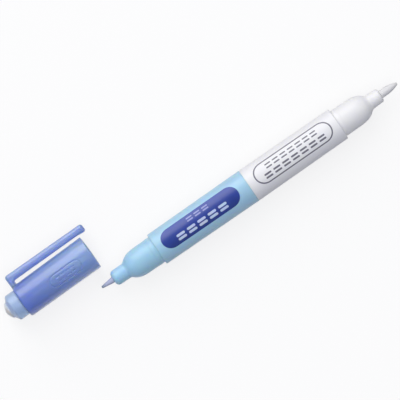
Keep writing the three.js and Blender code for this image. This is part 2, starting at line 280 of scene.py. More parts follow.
def mouldedPlastic(tree, look, covers=(), printed=None, inkRoughness=0.0):
    # Moulded polyolefin: a milky body with faint clouding, a satin skin from the polished tool, and a very
    # fine grain that is drawn coarser than real so that it shows. Covers are pairs of a mask and the colour
    # that it lays over the body, in turn. Where it is printed, the skin has the ink's roughness.
    place = addNode(tree, "ShaderNodeTexCoord").outputs["Object"]
    cloud = addNode(tree, "ShaderNodeTexNoise", {
        "Vector": place, "Scale": perMillimetre(look["cloudSize"]),
        "Detail": mouldedSkin["cloudDetail"], "Roughness": mouldedSkin["cloudRoughness"],
    }).outputs["Fac"]
    grain = addNode(tree, "ShaderNodeTexNoise", {
        "Vector": place, "Scale": perMillimetre(look["grainSize"]),
        "Detail": mouldedSkin["grainDetail"], "Roughness": mouldedSkin["grainRoughness"],
    }).outputs["Fac"]
    body = linearColour(look["colour"])
    for mask, colour in ((cloud, linearColour(look["cloudColour"])), *covers):
        mix = addNode(tree, "ShaderNodeMix", {"Factor": mask, 6: body, 7: colour}, data_type="RGBA")
        body = mix.outputs[2]
    spread = mouldedSkin["roughnessSpread"]
    skin = addNode(tree, "ShaderNodeMapRange", {
        "Value": grain, "To Min": look["roughness"] - spread, "To Max": look["roughness"] + spread,
    }).outputs[0]
    if printed:
        skin = addNode(tree, "ShaderNodeMix", {"Factor": printed, 2: skin, 3: inkRoughness}).outputs[0]
    bump = addNode(tree, "ShaderNodeBump", {
        "Strength": look["grainStrength"], "Distance": mouldedSkin["grainDepth"] * mm, "Height": grain,
    }).outputs[0]
    shader = addNode(tree, "ShaderNodeBsdfPrincipled", {
        "Base Color": body, "Roughness": skin, "Normal": bump, "IOR": look["ior"],
        "Subsurface Weight": look["milkiness"], "Subsurface Radius": look["scatter"],
        "Subsurface Scale": mm, "Transmission Weight": look["clearness"],
        "Coat Weight": look["polish"], "Coat Roughness": look["polishRoughness"],
    })
    return shader.outputs[0]


def surfacePlace(tree, arcCentre, alongCentre):
    # Millimetres round and along the piece from a chosen centre, out of its own map.
    place = addNode(tree, "ShaderNodeUVMap", uv_map="surface").outputs[0]
    parts = addNode(tree, "ShaderNodeSeparateXYZ", {0: place}).outputs
    across = addNode(tree, "ShaderNodeMath", {0: parts[0], 1: arcCentre}, operation="SUBTRACT").outputs[0]
    along = addNode(tree, "ShaderNodeMath", {0: parts[1], 1: alongCentre}, operation="SUBTRACT").outputs[0]
    return across, along


# Axes of the three groups of pieces

penLow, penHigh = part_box("marking_barrel")
penAxisY, penAxisZ = (penLow.y + penHigh.y) / 2, (penLow.z + penHigh.z) / 2
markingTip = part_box("marking_nib")[0].x
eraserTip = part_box("eraser_nib")[1].x
markingAxis = axisAt((markingTip, penAxisY, penAxisZ), (1, 0, 0))
eraserAxis = axisAt((eraserTip, penAxisY, penAxisZ), (-1, 0, 0))

capJoint = frame["joints"][0]
capRim = next(m for m in frame["record"]["mounts"] if m["name"] == "cap_rim")["pos_m"]
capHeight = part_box("cap_shell")[1].z / 2
capAxis = axisAt((capRim[0], capRim[1], capHeight), -np.array(capJoint["axis"]))


# Barrels

barrelSizes = {
    "radius": 5.8,
    "bore": 4.6,
    "recessDepth": 1.2,
    "recessRadius": 4.85,
    "shoulderRadius": 5.6,
    "shoulderRound": {"marking": 0.3, "eraser": 0.55},
    "seamRound": 0.14,
    "innerRound": 0.05,
}


def barrelMesh(end, axis):
    # A profile turned about the axis, from the shoulder to the seam: the outside's radius grows evenly with
    # the place along, the bore's stays the same, and a recess in the shoulder takes the nose's collar.
    low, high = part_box(end + "_barrel")
    length = (high.x - low.x) / mm
    start = abs((low.x if end == "marking" else high.x) - axis["origin"][0]) / mm
    recess = barrelSizes["recessRadius"]
    innerRound = barrelSizes["innerRound"]
    corners = [
        (recess, start, 0),
        (barrelSizes["shoulderRadius"], start, barrelSizes["shoulderRound"][end]),
        (barrelSizes["radius"], start + length, barrelSizes["seamRound"]),
        (barrelSizes["bore"], start + length, innerRound),
        (barrelSizes["bore"], start + barrelSizes["recessDepth"], innerRound),
        (recess, start + barrelSizes["recessDepth"], innerRound),
        (recess, start, 0),
    ]
    return revolveMesh(end + "Barrel", axis, filletProfile(corners), barrelSizes["radius"])


blueBarrelLook = {
    "colour": "#abd3eb",
    "cloudColour": "#a5cee9",
    "cloudSize": 9.0,
    "grainSize": 0.35,
    "grainStrength": 0.25,
    "roughness": 0.42,
    "ior": 1.49,
    "milkiness": 0.5,
    "scatter": (0.4, 0.9, 2.2),
    "clearness": 0.0,
    "polish": 0.3,
    "polishRoughness": 0.3,
}

blueLabel = {
    "arcCentre": 0.535,
    "alongCentre": 38.6,
    "length": 29.4,
    "width": 7.25,
    # The upper ink is paler as a painted sheen on the lit side, and the lower ink darker as painted shade.
    "paintedSheenInk": "#2c48a6",
    "paintedShadeInk": "#253b8a",
    "inkRoughness": 0.4,
    "largeInk": "#c3d2ee",
    "smallInk": "#8e95cb",
    "largeDashes": {
        "across": -1.42, "apart": 1.3, "pitch": 4.03, "count": 5, "length": 3.1, "width": 0.85,
    },
    "smallDashes": {
        "across": 1.87, "apart": 0.95, "pitch": 3.0, "count": 3, "length": 2.2, "width": 0.5,
    },
}


def blueBarrelPlastic():
    # Light blue moulded polypropylene, which gives the barrel a soft satin shine and a slightly milky
    # depth. The dark blue label with its pale dashes is pad printed, a thin dense ink with crisp edges. Its
    # ink carries painted light: paler on the upper, lit side as a painted sheen, and darker below as painted
    # shade.
    material, tree = newMaterial("bluePolypropylene")
    across, along = surfacePlace(tree, blueLabel["arcCentre"], blueLabel["alongCentre"])
    halfWidth = blueLabel["width"] / 2
    printed = edgeMask(tree, stadiumDistance(tree, across, along, blueLabel["length"] / 2, halfWidth))
    # The fade runs across the label from the painted shade below to the painted sheen above.
    fade = addNode(tree, "ShaderNodeMapRange", {
        "Value": across, "From Min": -halfWidth, "From Max": halfWidth,
    }).outputs[0]
    ink = addNode(tree, "ShaderNodeMix", {
        "Factor": fade, 6: linearColour(blueLabel["paintedShadeInk"]), 7: linearColour(blueLabel["paintedSheenInk"]),
    }, data_type="RGBA").outputs[2]
    covers = [
        (printed, ink),
        (dashRow(tree, across, along, blueLabel["smallDashes"]), linearColour(blueLabel["smallInk"])),
        (dashRow(tree, across, along, blueLabel["largeDashes"]), linearColour(blueLabel["largeInk"])),
    ]
    surface = mouldedPlastic(tree, blueBarrelLook, covers, printed, blueLabel["inkRoughness"])
    return finishMaterial(material, tree, surface)


whiteBarrelLook = {
    "colour": "#ededee",
    "cloudColour": "#eaeaec",
    "cloudSize": 9.0,
    "grainSize": 0.35,
    "grainStrength": 0.25,
    "roughness": 0.42,
    "ior": 1.49,
    "milkiness": 0.3,
    "scatter": (0.8, 0.8, 1.0),
    "clearness": 0.0,
    "polish": 0.0,
    "polishRoughness": 0.3,
}

whiteLabel = {
    "arcCentre": -0.72,
    "alongCentre": 40.1,
    "length": 29.1,
    "width": 7.11,
    "line": 0.45,
    "ink": "#6c6b78",
    "inkRoughness": 0.4,
    "boldDashes": {
        "across": 1.46, "apart": 1.15, "pitch": 3.43, "count": 7, "length": 2.6, "width": 0.6,
    },
    "fineDashes": {
        "across": -1.36, "apart": 1.2, "pitch": 2.9, "count": 7, "length": 2.2, "width": 0.48,
    },
}


def whiteBarrelPlastic():
    # White moulded polypropylene, which looks bright and satin, with soft shadows. On it are printed a thin
    # grey outline and rows of plain dashes.
    material, tree = newMaterial("whitePolypropylene")
    across, along = surfacePlace(tree, whiteLabel["arcCentre"], whiteLabel["alongCentre"])
    distance = stadiumDistance(tree, across, along, whiteLabel["length"] / 2, whiteLabel["width"] / 2)
    offset = addNode(tree, "ShaderNodeMath", {0: distance}, operation="ABSOLUTE").outputs[0]
    halfLine = whiteLabel["line"] / 2
    offset = addNode(tree, "ShaderNodeMath", {0: offset, 1: halfLine}, operation="SUBTRACT").outputs[0]
    printed = edgeMask(tree, offset)
    for name in ("fineDashes", "boldDashes"):
        dashes = dashRow(tree, across, along, whiteLabel[name])
        printed = addNode(tree, "ShaderNodeMath", {0: printed, 1: dashes}, operation="MAXIMUM").outputs[0]
    covers = [(printed, linearColour(whiteLabel["ink"]))]
    surface = mouldedPlastic(tree, whiteBarrelLook, covers, printed, whiteLabel["inkRoughness"])
    return finishMaterial(material, tree, surface)


barrelMaterials = {"marking": blueBarrelPlastic(), "eraser": whiteBarrelPlastic()}
for end, axis in (("marking", markingAxis), ("eraser", eraserAxis)):
    barrel = addPiece(end + "Barrel", barrelMesh(end, axis), barrelMaterials[end])
    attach(barrel, "pen")
    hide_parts(end + "_barrel")
print("barrels made")


# Noses

noseSizes = {
    "marking": {
        "front": 4.4, "length": 17.0, "tipRadius": 2.65, "tipFrontRadius": 2.625, "tipLength": 5.35,
        "tipRound": 1.4, "ogiveLength": 7.7, "nibBore": 1.075,
    },
    "eraser": {
        "front": 6.4, "length": 16.35, "tipRadius": 2.55, "tipFrontRadius": 2.425, "tipLength": 4.6,
        "tipRound": 0.7, "ogiveLength": 8.0, "nibBore": 1.45,
    },
    "radius": 4.75,
    "fillet": 0.4,
    "ogivePower": 3.8,
    "beadHeight": 0.08,
    "beadLength": 1.6,
    "beadSetback": 0.5,
    "recessDepth": 1.2,
    "spigotRadius": 4.55,
    "spigotLength": 9.0,
    "spigotRound": 0.35,
    "seatRound": 0.05,
    "holderRadius": 3.75,
    "holderSetback": 4.0,
    "innerRound": 0.1,
    "mouthChamfer": 0.1,
    "ogiveStartShare": 0.125,
    "frontPoints": 20,
    "neckPoints": 14,
    "ogivePoints": 56,
    "beadPoints": 20,
}


def noseMesh(end, axis):
    # A profile turned about the axis: rounded front, tapered tip, fillet, ogive, parallel stretch with its
    # low bead, and the spigot in the barrel. The ogive's radius is full - (full - tip) * (1 - share) to a
    # power, and the bead rises by its height * sin(pi * share) squared.
    sizes = noseSizes[end]
    full, tip, front = noseSizes["radius"], sizes["tipRadius"], sizes["front"]
    ogiveStart = front + sizes["tipLength"]
    shoulder = front + sizes["length"]
    seat = shoulder + noseSizes["recessDepth"]
    spigotEnd = seat + noseSizes["spigotLength"]
    holderStop = ogiveStart + noseSizes["holderSetback"]
    mouth = sizes["nibBore"] + noseSizes["mouthChamfer"]
    bore = np.array([(sizes["nibBore"], front)])
    tipFront = sizes["tipFrontRadius"]
    tipRound = sizes["tipRound"]
    count = noseSizes["frontPoints"]
    frontRound = quarterEllipse(mouth, front + tipRound, tipFront - mouth, tipRound, count)
    share = np.linspace(noseSizes["ogiveStartShare"], 1, noseSizes["ogivePoints"])[:, None]
    ogive = np.hstack([full - (full - tip) * (1 - share) ** noseSizes["ogivePower"],
                       ogiveStart + share * sizes["ogiveLength"]])
    neckStart = (tip, ogiveStart - noseSizes["fillet"])
    neck = bentLine(neckStart, (tip, ogiveStart), ogive[0], noseSizes["neckPoints"])
    share = np.linspace(0, 1, noseSizes["beadPoints"])[:, None]
    beadStart = shoulder - noseSizes["beadSetback"] - noseSizes["beadLength"]
    bead = np.hstack([full + noseSizes["beadHeight"] * np.sin(math.pi * share) ** 2,
                      beadStart + share * noseSizes["beadLength"]])
    innerRound = noseSizes["innerRound"]
    back = filletProfile([
        (full, shoulder, 0),
        (full, seat, innerRound),
        (noseSizes["spigotRadius"], seat, noseSizes["seatRound"]),
        (noseSizes["spigotRadius"], spigotEnd, noseSizes["spigotRound"]),
        (noseSizes["holderRadius"], spigotEnd, innerRound),
        (noseSizes["holderRadius"], holderStop, innerRound),
        (sizes["nibBore"], holderStop, innerRound),
        (sizes["nibBore"], front, 0),
    ])
    profile = np.vstack([bore, frontRound, neck, ogive[1:], bead, back])
    return revolveMesh(end + "Nose", axis, profile, full)


noseLooks = {
    "marking": {**blueBarrelLook, "colour": "#a8d4ec", "cloudColour": "#a2ceea", "cloudSize": 5.0},
    "eraser": {**whiteBarrelLook, "colour": "#eeeeee", "cloudColour": "#eaeaea", "cloudSize": 5.0},
}


def nosePlastic(end):
    # The barrel's moulded polypropylene over again, with the same satin shine and a finer clouding, because
    # the nose is the smaller moulding.
    material, tree = newMaterial(end + "NosePolypropylene")
    return finishMaterial(material, tree, mouldedPlastic(tree, noseLooks[end]))


for end, axis in (("marking", markingAxis), ("eraser", eraserAxis)):
    nose = addPiece(end + "Nose", noseMesh(end, axis), nosePlastic(end))
    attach(nose, "pen")
    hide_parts(end + "_nose")
print("noses made")


# Nibs

nibSizes = {
    "marking": {
        "radius": 0.975, "pointRadius": 0.425, "pointRound": 0.3,
        "taper": 4.2, "swell": 0.0, "length": 19.75,
    },
    "eraser": {
        "radius": 1.35, "pointRadius": 0.55, "pointRound": 0.4,
        "taper": 4.6, "swell": 0.4, "length": 21.0,
    },
    "rodSetback": 0.5,
    "backRound": 0.1,
    "pointPoints": 14,
    "taperPoints": 24,
}

nibLooks = {
    "marking": {
        "colour": "#bdc5de", "streakColour": "#adb3d0", "pointColour": "#7f90a0", "pointReach": 1.8,
        "streakSize": 0.12, "roughness": 0.75,
    },
    "eraser": {
        "colour": "#e6e6e6", "streakColour": "#dbdbdb", "pointColour": "#d6d6d4", "pointReach": 2.0,
        "streakSize": 0.14, "roughness": 0.85,
    },
    "streakDrawShare": 0.08,
    "streakDetail": 3.0,
    "streakRoughness": 0.6,
    "streakStrength": 0.6,
    "streakDepth": 0.03,
    "ior": 1.4,
}


def nibMesh(end, axis):
    # A profile turned about the axis: a quarter ellipse for the point, a taper as a bent line where the nib
    # stands out, and a straight rod. The swell pulls the bent line outwards and makes the taper a bullet.
    sizes = nibSizes[end]
    radius, pointRadius, pointRound = sizes["radius"], sizes["pointRadius"], sizes["pointRound"]
    point = quarterEllipse(0, pointRound, pointRadius, pointRound, nibSizes["pointPoints"])
    pull = ((pointRadius + radius) / 2 + sizes["swell"], (pointRound + sizes["taper"]) / 2)
    taper = bentLine((pointRadius, pointRound), pull, (radius, sizes["taper"]), nibSizes["taperPoints"])
    rod = filletProfile([
        (radius, sizes["taper"] + nibSizes["rodSetback"], 0),
        (radius, sizes["length"], nibSizes["backRound"]),
        (0, sizes["length"], 0),
    ])
    return revolveMesh(end + "Nib", axis, np.vstack([point, taper[1:], rod]), radius)


def nibFibre(end):
    # Bonded polyester fibre, ground to shape: it looks matt, with fine streaks along the rod, and darker at
    # the wetted point. The streaks are drawn coarser than the fibres, which are too thin to show.
    look = nibLooks[end]
    material, tree = newMaterial(end + "NibFibre")
    place = addNode(tree, "ShaderNodeUVMap", uv_map="surface").outputs[0]
    along = addNode(tree, "ShaderNodeSeparateXYZ", {0: place}).outputs[1]
    drawn = addNode(tree, "ShaderNodeVectorMath", {0: place, 1: (1.0, nibLooks["streakDrawShare"], 0.0)},
                    operation="MULTIPLY").outputs[0]
    streak = addNode(tree, "ShaderNodeTexNoise", {
        "Vector": drawn, "Scale": 1 / look["streakSize"],
        "Detail": nibLooks["streakDetail"], "Roughness": nibLooks["streakRoughness"],
    }).outputs["Fac"]
    fibre = addNode(tree, "ShaderNodeMix", {
        "Factor": streak, 6: linearColour(look["colour"]), 7: linearColour(look["streakColour"]),
    }, data_type="RGBA").outputs[2]
    fade = addNode(tree, "ShaderNodeMapRange", {"Value": along, "From Max": look["pointReach"]}).outputs[0]
    body = addNode(tree, "ShaderNodeMix", {
        "Factor": fade, 6: linearColour(look["pointColour"]), 7: fibre,
    }, data_type="RGBA").outputs[2]
    bump = addNode(tree, "ShaderNodeBump", {
        "Strength": nibLooks["streakStrength"], "Distance": nibLooks["streakDepth"] * mm, "Height": streak,
    }).outputs[0]
    surface = addNode(tree, "ShaderNodeBsdfPrincipled", {
        "Base Color": body, "Roughness": look["roughness"], "Normal": bump, "IOR": nibLooks["ior"],
    }).outputs[0]
    return finishMaterial(material, tree, surface)


for end, axis in (("marking", markingAxis), ("eraser", eraserAxis)):
    nib = addPiece(end + "Nib", nibMesh(end, axis), nibFibre(end))
    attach(nib, "pen")
    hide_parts(end + "_nib")
print("nibs made")


# Cap

capSizes = {
    "length": 27.2,
    "rimRadius": 5.85,
    "endRadius": 5.65,
    "rimRound": 0.3,
    "endRound": 0.6,
    "mouthBore": 4.95,
    "mouthRound": 0.12,
    "seamSetback": 0.3,
    "draft": 0.3,
    "endWall": 1.2,
    "floorRound": 0.2,
    "stemHole": 4.0,
    "holeRound": 0.1,
    "backColumns": 55,
}

clipSizes = {
    "width": 3.6,
    "toeThickness": 2.535,
    "rootThickness": 2.8,
    "mouthGap": 0.85,
    "rootGap": 1.25,
    "overhang": 2.8,
    "web": 2.0,
    "cornerRound": 0.9,
    "toeRound": 1.5,
    "innerRound": 0.5,
    "footDepth": 0.7,
    "footRound": 0.05,
    "beadHeight": 0.25,
    "beadStartShare": 0.5,
    "beadRound": 0.8,
    "bendPlace": 0.2,
    "bendRound": 1.0,
    "crownRise": 1.1,
    "crownTurnShare": 0.45,
    "crownLayers": 10,
    "filletSteps": 8,
    "mapShift": 40,
}

# The plain frame and two rows of dashes engraved in the cap, in millimetres round and along it from the
# rim. Only the wall's outside is engraved, which starts outsideMargin past the bore.
capFrame = {
    "arcCentre": 1.0,
    "alongCentre": 10.3,
    "length": 11.9,
    "width": 4.0,
    "line": 0.5,
    "depth": 0.14,
    "softness": 0.2,
    "outsideMargin": 0.3,
    "step": 0.09,
    "dashes": {"across": 0.7, "pitch": 1.9, "count": 4, "length": 1.35, "width": 0.5},
}


def frameRelief(arc, place, radius):
    # The engraving is full within half the line's width of a stadium's edge and inside each dash. Over the
    # softness it fades as share squared * (3 - 2 share). The dashes are one stadium, with the place along
    # folded into their pitch and the place across folded about the middle between the two rows.
    across = arc - capFrame["arcCentre"]
    along = place - capFrame["alongCentre"]
    reach = np.maximum(np.abs(along) - (capFrame["length"] - capFrame["width"]) / 2, 0)
    line = np.abs(np.hypot(across, reach) - capFrame["width"] / 2) - capFrame["line"] / 2
    dashes = capFrame["dashes"]
    counted = along / dashes["pitch"] + (dashes["count"] - 1) / 2
    folded = dashes["pitch"] * (counted - np.clip(np.round(counted), 0, dashes["count"] - 1))
    reach = np.maximum(np.abs(folded) - (dashes["length"] - dashes["width"]) / 2, 0)
    dash = np.hypot(np.abs(across) - dashes["across"], reach) - dashes["width"] / 2
    share = np.clip(0.5 - np.minimum(line, dash) / capFrame["softness"], 0, 1)
    outside = radius > capSizes["mouthBore"] + capFrame["outsideMargin"]
    return capFrame["depth"] * outside * share * share * (3 - 2 * share)


def shellMesh():
    # The cap's tube, a profile turned about the axis: a slightly tapered outside, the hole for the seal's
    # stem and a drafted bore. Rows and columns lie close together where the frame is engraved.
    length = capSizes["length"]
    floor = length - capSizes["endWall"]
    margin = capFrame["line"] + capFrame["softness"]
    first = capFrame["alongCentre"] - capFrame["length"] / 2 - margin
    rows = np.arange(first, 2 * capFrame["alongCentre"] - first, capFrame["step"])
    taper = (capSizes["endRadius"] - capSizes["rimRadius"]) / length
    corners = [
        (capSizes["mouthBore"], capSizes["seamSetback"], 0),
        (capSizes["mouthBore"], 0, capSizes["mouthRound"]),
        (capSizes["rimRadius"], 0, capSizes["rimRound"]),
        *[(capSizes["rimRadius"] + taper * row, row, 0) for row in rows],
        (capSizes["endRadius"], length, capSizes["endRound"]),
        (capSizes["stemHole"], length, capSizes["holeRound"]),
        (capSizes["stemHole"], floor, capSizes["holeRound"]),
        (capSizes["mouthBore"] - capSizes["draft"], floor, capSizes["floorRound"]),
        (capSizes["mouthBore"], capSizes["seamSetback"], 0),
    ]
    reach = capFrame["width"] / 2 + margin
    arc = np.arange(capFrame["arcCentre"] - reach, capFrame["arcCentre"] + reach, capFrame["step"])
    close = arc / capSizes["rimRadius"]
    count = capSizes["backColumns"]
    before = np.linspace(-math.pi, close[0], count, endpoint=False)
    after = np.linspace(math.pi, close[-1], count, endpoint=False)[::-1]
    turn = np.concatenate([before, close, after])
    profile = filletProfile(corners)
    return revolveMesh("capShell", capAxis, profile, capSizes["rimRadius"], turn, frameRelief)


def nearestOnLine(points, line):
    # The nearest point of a line of straight parts to each of the points: on each part it is start +
    # share * (end - start), with the share of the way that lies square to the point, held within 0 to 1.
    best = np.full(points.shape, np.inf)
    for start, end in zip(line[:-1], line[1:]):
        share = np.clip((points - start) @ (end - start) / np.sum((end - start) ** 2), 0, 1)
        spot = start + share[:, None] * (end - start)
        nearer = np.linalg.norm(points - spot, axis=1) < np.linalg.norm(points - best, axis=1)
        best = np.where(nearer[:, None], spot, best)
    return best


def clipLayers():
    # A bar beside the cap on a web at the closed end, with crowned faces. Its outline is filleted, and each
    # layer is that outline drawn towards the bar's mid line by 1 - cos a, at height
    # width / 2 - rise * (1 - sin a). The mid line starts at the foot, so the foot stays in the tube's wall.
    rootInner = capSizes["endRadius"] + clipSizes["rootGap"]
    mouthInner = capSizes["rimRadius"] + clipSizes["mouthGap"]
    rootOuter = rootInner + clipSizes["rootThickness"]
    mouthOuter = mouthInner + clipSizes["toeThickness"]
    bead = mouthInner - clipSizes["beadHeight"]
    end = -clipSizes["overhang"]
    length = capSizes["length"]
    webMiddle = length - clipSizes["web"] / 2
    foot = capSizes["endRadius"] - clipSizes["footDepth"]
    footRound = clipSizes["footRound"]
    corner = clipSizes["cornerRound"]
    outline = filletProfile([
        (foot, webMiddle, 0),
        (foot, length - clipSizes["web"], footRound),
        (rootInner, length - clipSizes["web"], clipSizes["innerRound"]),
        (mouthInner, clipSizes["bendPlace"], clipSizes["bendRound"]),
        (bead, end * clipSizes["beadStartShare"], clipSizes["beadRound"]),
        (bead, end, clipSizes["toeRound"]),
        (mouthOuter, end, corner),
        (rootOuter, length, corner),
        (foot, length, footRound),
        (foot, webMiddle, 0),
    ], clipSizes["filletSteps"])[:-1]
    toeHalf = (mouthOuter - bead) / 2
    middle = nearestOnLine(outline, np.array([
        (foot, webMiddle),
        ((rootInner + rootOuter) / 2, webMiddle),
        (bead + toeHalf, end + toeHalf),
    ]))
    turn = np.linspace(clipSizes["crownTurnShare"] * math.pi, 0, clipSizes["crownLayers"])
    share = 1 - np.cos(turn)
    height = clipSizes["width"] / 2 - clipSizes["crownRise"] * (1 - np.sin(turn))
    share = np.concatenate([share, share[::-1]])
    height = np.concatenate([height, -height[::-1]])
    layers = outline[None] + share[:, None, None] * (middle - outline)[None]
    return layers, height


def capShellMesh():
    # The clip's foot is sunk in the wall of the tube, and the two closed surfaces make one mesh. The clip's
    # map is shifted clear of the tube's.
    layers, height = clipLayers()
    layers = np.concatenate([layers, layers[:, :1]], axis=1)
    up = height[:, None] + 0 * layers[..., 0]
    points = placed(capAxis, layers[..., 1], -layers[..., 0], up)
    uvs = np.stack([layers[..., 0] + clipSizes["mapShift"], layers[..., 1]], axis=-1)
    mesh = shellMesh()
    body = bmesh.new()
    body.from_mesh(mesh)
    body.from_mesh(gridMesh("clip", points, uvs))
    body.to_mesh(mesh)
    body.free()
    return mesh


capLook = {
    "colour": "#a6c5fe",
    "cloudColour": "#9ebffc",
    # The deep colour is painted shade towards the closed end, for the seal inside, which keeps light from coming
    # through the wall.
    "paintedShadeColour": "#829ff6",
    "clipColour": "#a0baee",
    "cloudSize": 8.0,
    "grainSize": 0.3,
    "grainStrength": 0.15,
    "roughness": 0.3,
    "ior": 1.49,
    "milkiness": 0.8,
    "scatter": (0.6, 1.0, 3.6),
    "clearness": 0.4,
    "polish": 0.7,
    "polishRoughness": 0.26,
    "depthColour": "#3f64e4",
    "depthPerMetre": 265.0,
    "paintedShadeStartShare": 0.1,
    "paintedShadeEndShare": 0.9,
}


def capPlastic():
    # Blue translucent polypropylene from a polished mould: glossy, with light coming through its thin wall
    # and a deeper blue where the wall is seen edge on. The wall thickens a little towards the closed end, and
    # there painted shade deepens the colour, for the seal inside, which keeps light from coming through the
    # wall. The solid clip is paler, and its map lies beyond the tube's.
    material, tree = newMaterial("capPolypropylene")
    place = addNode(tree, "ShaderNodeUVMap", uv_map="surface").outputs[0]
    parts = addNode(tree, "ShaderNodeSeparateXYZ", {0: place}).outputs
    # Painted shade: the blue deepens along the cap towards the closed end, where the seal inside keeps the light
    # out.
    paintedShadeShare = addNode(tree, "ShaderNodeMapRange", {
        "Value": parts[1], "From Min": capLook["paintedShadeStartShare"] * capSizes["length"],
        "From Max": capLook["paintedShadeEndShare"] * capSizes["length"],
    }).outputs[0]
    onClip = addNode(tree, "ShaderNodeMath", {
        0: parts[0], 1: clipSizes["mapShift"],
    }, operation="GREATER_THAN").outputs[0]
    covers = [(paintedShadeShare, linearColour(capLook["paintedShadeColour"])), (onClip, linearColour(capLook["clipColour"]))]
    surface = mouldedPlastic(tree, capLook, covers)
    depth = addNode(tree, "ShaderNodeVolumeAbsorption", {
        "Color": linearColour(capLook["depthColour"]), "Density": capLook["depthPerMetre"],
    }).outputs[0]
    return finishMaterial(material, tree, surface, depth)


capShell = addPiece("capShell", capShellMesh(), capPlastic())
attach(capShell, "cap")
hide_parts("cap_shell")
print("cap made:", len(capShell.data.polygons), "faces")


# Inner seal with its knob

sealSizes = {
    "stemRadius": 3.9,
    "cupRadius": 2.8,
    "cupSetback": 12.8,
    "noseFloor": 17.5,
    "nibBore": 1.8,
    "knobRadius": 4.6,
    "knobSeat": 27.3,
    "knobStraight": 3.35,
    "coneLength": 1.0,
    "domeRadius": 2.85,
    "domeFullness": 0.6,
    "knobEnd": 33.35,
    "knobWall": 1.4,
    "roomEndRound": 0.4,
    "roomRound": 0.1,
    "cupFloorRound": 0.2,
    "cupRimRound": 0.3,
    "seatInnerRound": 0.05,
    "seatRound": 0.25,
    "knobRound": 0.5,
    "domeFootRound": 0.2,
    "domeFootInset": 0.05,
    "domeFootHeight": 0.3,
    "domeStartHeight": 0.35,
    "domePoints": 24,
}

sealLook = {
    "colour": "#c6dcfc",
    "cloudColour": "#bed6fa",
    # The nub's white is painted light, for the light that comes through its thin wall.
    "nubPaintedLightColour": "#ffffff",
    "cloudSize": 4.0,
    "grainSize": 0.3,
    "grainStrength": 0.2,
    "roughness": 0.35,
    "ior": 1.5,
    "milkiness": 0.5,
    "scatter": (1.0, 1.2, 1.6),
    "clearness": 0.5,
    "polish": 0.5,
    "polishRoughness": 0.2,
    "depthColour": "#3fd8fb",
    "depthPerMetre": 31.6,
    "nubFadeStart": -0.3,
    "nubFadeEnd": 0.6,
}

coneEnd = sealSizes["knobSeat"] + sealSizes["knobStraight"] + sealSizes["coneLength"]


def sealMesh():
    # A profile turned about the axis: a cup for the nose's tip, a room for the nib, and the knob, which is
    # a cylinder, a cone and a domed nub. The dome is a bent line from the cone's end to the axis.
    sizes = sealSizes
    roomEnd = sizes["knobEnd"] - sizes["knobWall"]
    radius = sizes["domeRadius"]
    body = filletProfile([
        (0, roomEnd, 0),
        (sizes["nibBore"], roomEnd, sizes["roomEndRound"]),
        (sizes["nibBore"], sizes["noseFloor"], sizes["roomRound"]),
        (sizes["cupRadius"], sizes["noseFloor"], sizes["cupFloorRound"]),
        (sizes["cupRadius"], sizes["cupSetback"], sizes["cupRimRound"]),
        (sizes["stemRadius"], sizes["cupSetback"], sizes["cupRimRound"]),
        (sizes["stemRadius"], sizes["knobSeat"], sizes["seatInnerRound"]),
        (sizes["knobRadius"], sizes["knobSeat"], sizes["seatRound"]),
        (sizes["knobRadius"], sizes["knobSeat"] + sizes["knobStraight"], sizes["knobRound"]),
        (radius, coneEnd, sizes["domeFootRound"]),
        (radius - sizes["domeFootInset"], coneEnd + sizes["domeFootHeight"], 0),
    ])
    pull = coneEnd + sizes["domeFullness"] * (sizes["knobEnd"] - coneEnd)
    dome = bentLine((radius, coneEnd), (radius, pull), (0, sizes["knobEnd"]), sizes["domePoints"])
    dome = dome[dome[:, 1] > coneEnd + sizes["domeStartHeight"]]
    return revolveMesh("capInnerSeal", capAxis, np.vstack([body, dome]), sizes["knobRadius"])


def sealPlastic():
    # Moulded low-density polyethylene: milky, softly glossy and paler than the cap, because it takes up
    # less of the light. The domed nub is painted white, a painted light for the light coming through its thin
    # wall.
    material, tree = newMaterial("sealPolyethylene")
    place = addNode(tree, "ShaderNodeUVMap", uv_map="surface").outputs[0]
    along = addNode(tree, "ShaderNodeSeparateXYZ", {0: place}).outputs[1]
    # This mask lays the nub's painted light over the dome.
    nubPaintedLight = addNode(tree, "ShaderNodeMapRange", {
        "Value": along, "From Min": coneEnd + sealLook["nubFadeStart"],
        "From Max": coneEnd + sealLook["nubFadeEnd"],
    }).outputs[0]
    surface = mouldedPlastic(tree, sealLook, [(nubPaintedLight, linearColour(sealLook["nubPaintedLightColour"]))])
    depth = addNode(tree, "ShaderNodeVolumeAbsorption", {
        "Color": linearColour(sealLook["depthColour"]), "Density": sealLook["depthPerMetre"],
    }).outputs[0]
    return finishMaterial(material, tree, surface, depth)


capSeal = addPiece("capInnerSeal", sealMesh(), sealPlastic())
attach(capSeal, "cap")
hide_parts("cap_inner_seal")
print("seal made")


# Inner pieces keep their CAD shape, because closed barrels cover them

innerGrain = {
    "detail": 3.0,
    "strength": 0.4,
    "depth": 0.05,
    "ior": 1.49,
}

innerLooks = {
    "centre_coupler": {
        "material": "couplerPolypropylene", "colour": "#e4e4ea", "otherColour": "#dadae2",
        "grainSize": 3.0, "stretch": 1.0, "roughness": 0.5, "clearness": 0.0,
    },
    "marking_reservoir": {
        "material": "inkedPolyesterFibre", "colour": "#b4bfe6", "otherColour": "#c6cfee",
        "grainSize": 0.3, "stretch": 0.06, "roughness": 0.95, "clearness": 0.0,
    },
    "eraser_reservoir": {
        "material": "wetPolyesterFibre", "colour": "#f2f0e8", "otherColour": "#e2e0d8",
        "grainSize": 0.3, "stretch": 0.06, "roughness": 0.95, "clearness": 0.0,
    },
    "marking_reservoir_film": {
        "material": "markingPolypropyleneFilm", "colour": "#f2f4f8", "otherColour": "#e6eaf2",
        "grainSize": 2.0, "stretch": 1.0, "roughness": 0.12, "clearness": 0.8,
    },
    "eraser_reservoir_film": {
        "material": "eraserPolypropyleneFilm", "colour": "#f4f4f4", "otherColour": "#eaeaea",
        "grainSize": 2.0, "stretch": 1.0, "roughness": 0.12, "clearness": 0.8,
    },
}


